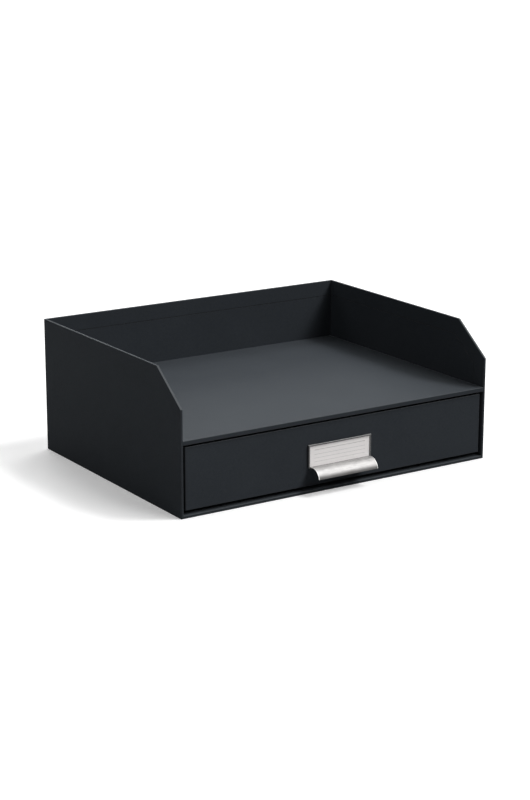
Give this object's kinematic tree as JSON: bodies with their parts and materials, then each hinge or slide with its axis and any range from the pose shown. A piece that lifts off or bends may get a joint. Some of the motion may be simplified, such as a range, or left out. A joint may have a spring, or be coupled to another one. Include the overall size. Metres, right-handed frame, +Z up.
{
  "type": "letter tray with drawer",
  "caption": "Open desk letter tray with slant-cut side walls over a full-width drawer, in paper-covered fibreboard, with a steel label holder that curls into a finger pull.",
  "frame": {"origin": "middle of the case's footprint, on the surface the case stands on", "axes": "+X to the right seen from the front, +Y to the back, +Z up; the drawer opens towards -Y"},
  "size_m": [0.331, 0.2655, 0.1276],
  "materials": {
    "dyed_board": "matte",
    "covering_paper": "matte",
    "holder_steel": "satin",
    "rivet_steel": "satin",
    "card": "matte"
  },
  "bodies": {
    "case": {"left_side_board": "dyed_board", "right_side_board": "dyed_board", "back_board": "dyed_board", "base_board": "dyed_board", "shelf_board": "dyed_board", "bay_left_liner": "dyed_board", "bay_right_liner": "dyed_board", "bay_floor_liner": "dyed_board", "outer_cover_paper": "covering_paper", "wall_lining_paper": "covering_paper", "shelf_cover_paper": "covering_paper", "base_cover_paper": "covering_paper"},
    "drawer": {"drawer_front_board": "dyed_board", "drawer_back_board": "dyed_board", "drawer_left_board": "dyed_board", "drawer_right_board": "dyed_board", "drawer_bottom_board": "dyed_board", "drawer_cover_paper": "covering_paper", "drawer_lining_paper": "covering_paper", "label_holder": "holder_steel", "holder_rivets": "rivet_steel"},
    "card": {"label_card": "card"}
  },
  "joints": [
    {"name": "drawer_slide", "type": "slide", "parent": "case", "child": "drawer", "axis": [0, -1, 0], "range_m": [0, 0.2]},
    {"name": "card_slide", "type": "slide", "parent": "drawer", "child": "card", "axis": [0, 0, 1], "range_m": [0, 0.02]}
  ]
}
